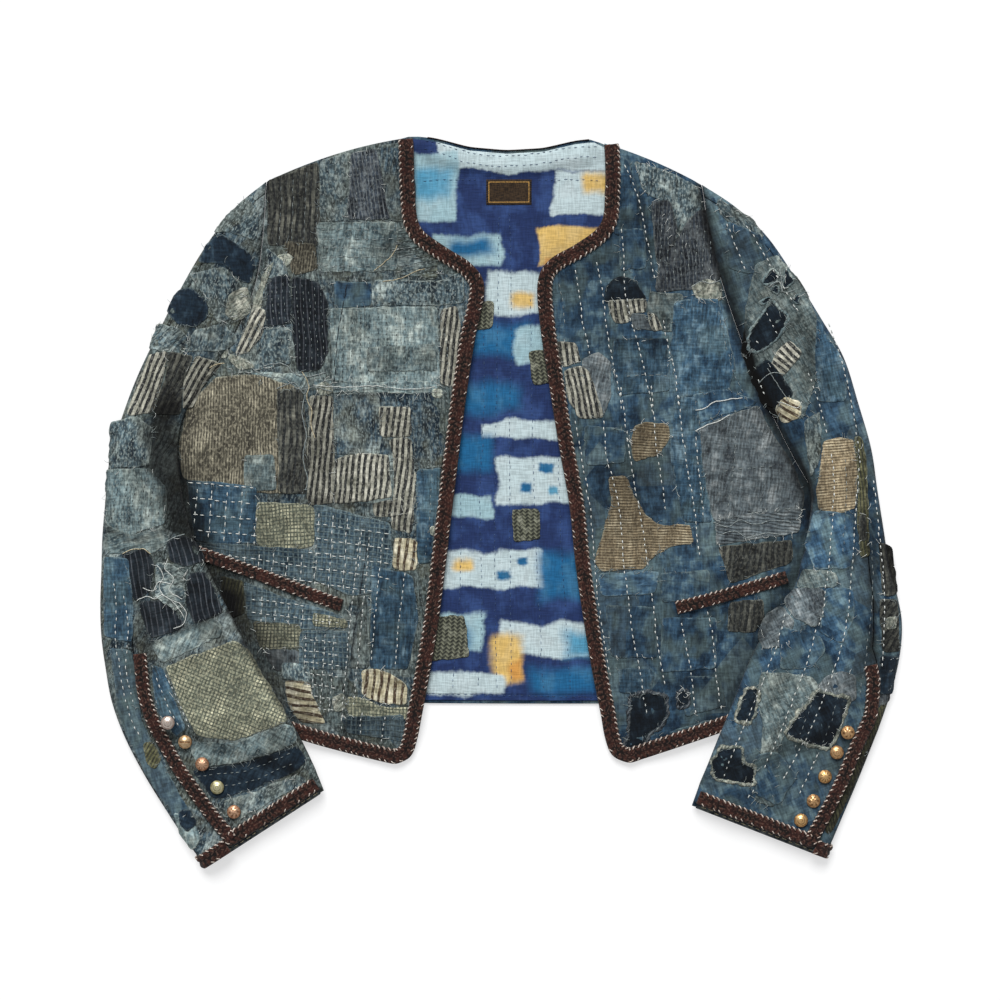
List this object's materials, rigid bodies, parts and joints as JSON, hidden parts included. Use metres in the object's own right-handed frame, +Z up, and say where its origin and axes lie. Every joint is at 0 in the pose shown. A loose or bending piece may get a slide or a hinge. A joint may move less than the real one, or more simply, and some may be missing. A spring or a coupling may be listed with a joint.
{
  "type": "collarless patched work jacket laid flat",
  "caption": "Short collarless indigo jacket of quilted old patches with brown braid edges and metal cuff buttons, open in front, laid flat with its sleeves folded over the fronts.",
  "frame": {"origin": "middle of the jacket's box in plan, on the surface it lies on", "axes": "+X to the wearer's left, +Y from the hem to the neck, +Z up from the surface that the back lies on"},
  "size_m": [0.76, 0.6902, 0.0224],
  "materials": {
    "patchwork_cloth": "worn indigo cotton, quilted in layers",
    "resist_dyed_lining": "plain weave with resist-dyed bands",
    "brown_braid": "soft napped braid, whipstitched in cream",
    "label_cloth": "woven, bare with a plain border",
    "blue_patch_cloth": "faded indigo plain weave",
    "dark_indigo_cloth": "smooth dark indigo",
    "brown_ribbed_cloth": "coarse brown and grey rib",
    "ticking_cloth": "cream and dark stripes",
    "tan_darned_cloth": "close tan darning",
    "loose_check_cloth": "loose open check",
    "aged_brass": "domed and worn",
    "aged_metal": "domed and worn, silver to copper"
  },
  "bodies": {
    "root": {"back": "patchwork_cloth", "back_lining": "resist_dyed_lining", "neck_label": "label_cloth", "back_neck_braid": "brown_braid", "right_front": "patchwork_cloth", "right_front_braid": "brown_braid", "right_pocket_braid": "brown_braid", "right_upper_sleeve": "patchwork_cloth", "right_under_sleeve": "patchwork_cloth", "right_cuff_braid": "brown_braid", "right_under_cuff_braid": "brown_braid", "right_cuff_button_1": "aged_metal", "right_cuff_button_2": "aged_metal", "right_cuff_button_3": "aged_metal", "right_cuff_button_4": "aged_metal", "right_cuff_button_5": "aged_metal", "left_front": "patchwork_cloth", "left_front_braid": "brown_braid", "left_pocket_braid": "brown_braid", "left_upper_sleeve": "patchwork_cloth", "left_under_sleeve": "patchwork_cloth", "left_cuff_braid": "brown_braid", "left_under_cuff_braid": "brown_braid", "left_cuff_button_1": "aged_brass", "left_cuff_button_2": "aged_brass", "left_cuff_button_3": "aged_brass", "left_cuff_button_4": "aged_brass", "left_cuff_button_5": "aged_brass", "right_shoulder_rib_patch": "brown_ribbed_cloth", "right_pinstripe_patch": "dark_indigo_cloth", "right_chest_denim_patch": "blue_patch_cloth", "right_homespun_patch": "brown_ribbed_cloth", "right_ticking_patch": "ticking_cloth", "right_cross_stitch_patch": "blue_patch_cloth", "right_cream_check_patch": "loose_check_cloth", "right_front_blue_patch": "blue_patch_cloth", "right_hem_check_patch": "loose_check_cloth", "left_shoulder_fleck_patch": "loose_check_cloth", "left_charcoal_rib_patch": "brown_ribbed_cloth", "left_chest_blue_patch": "blue_patch_cloth", "left_twill_patch": "brown_ribbed_cloth", "left_ticking_patch": "ticking_cloth", "left_darned_patch": "tan_darned_cloth", "left_waist_band_patch": "blue_patch_cloth", "left_hem_indigo_patch": "dark_indigo_cloth", "right_arm_navy_patch": "dark_indigo_cloth", "right_arm_ticking_patch": "ticking_cloth", "right_forearm_indigo_patch": "dark_indigo_cloth", "right_cuff_check_patch": "loose_check_cloth", "left_arm_indigo_patch": "dark_indigo_cloth", "left_arm_darned_patch": "tan_darned_cloth", "left_forearm_blue_patch": "blue_patch_cloth", "left_cuff_indigo_patch": "dark_indigo_cloth"}
  },
  "joints": []
}
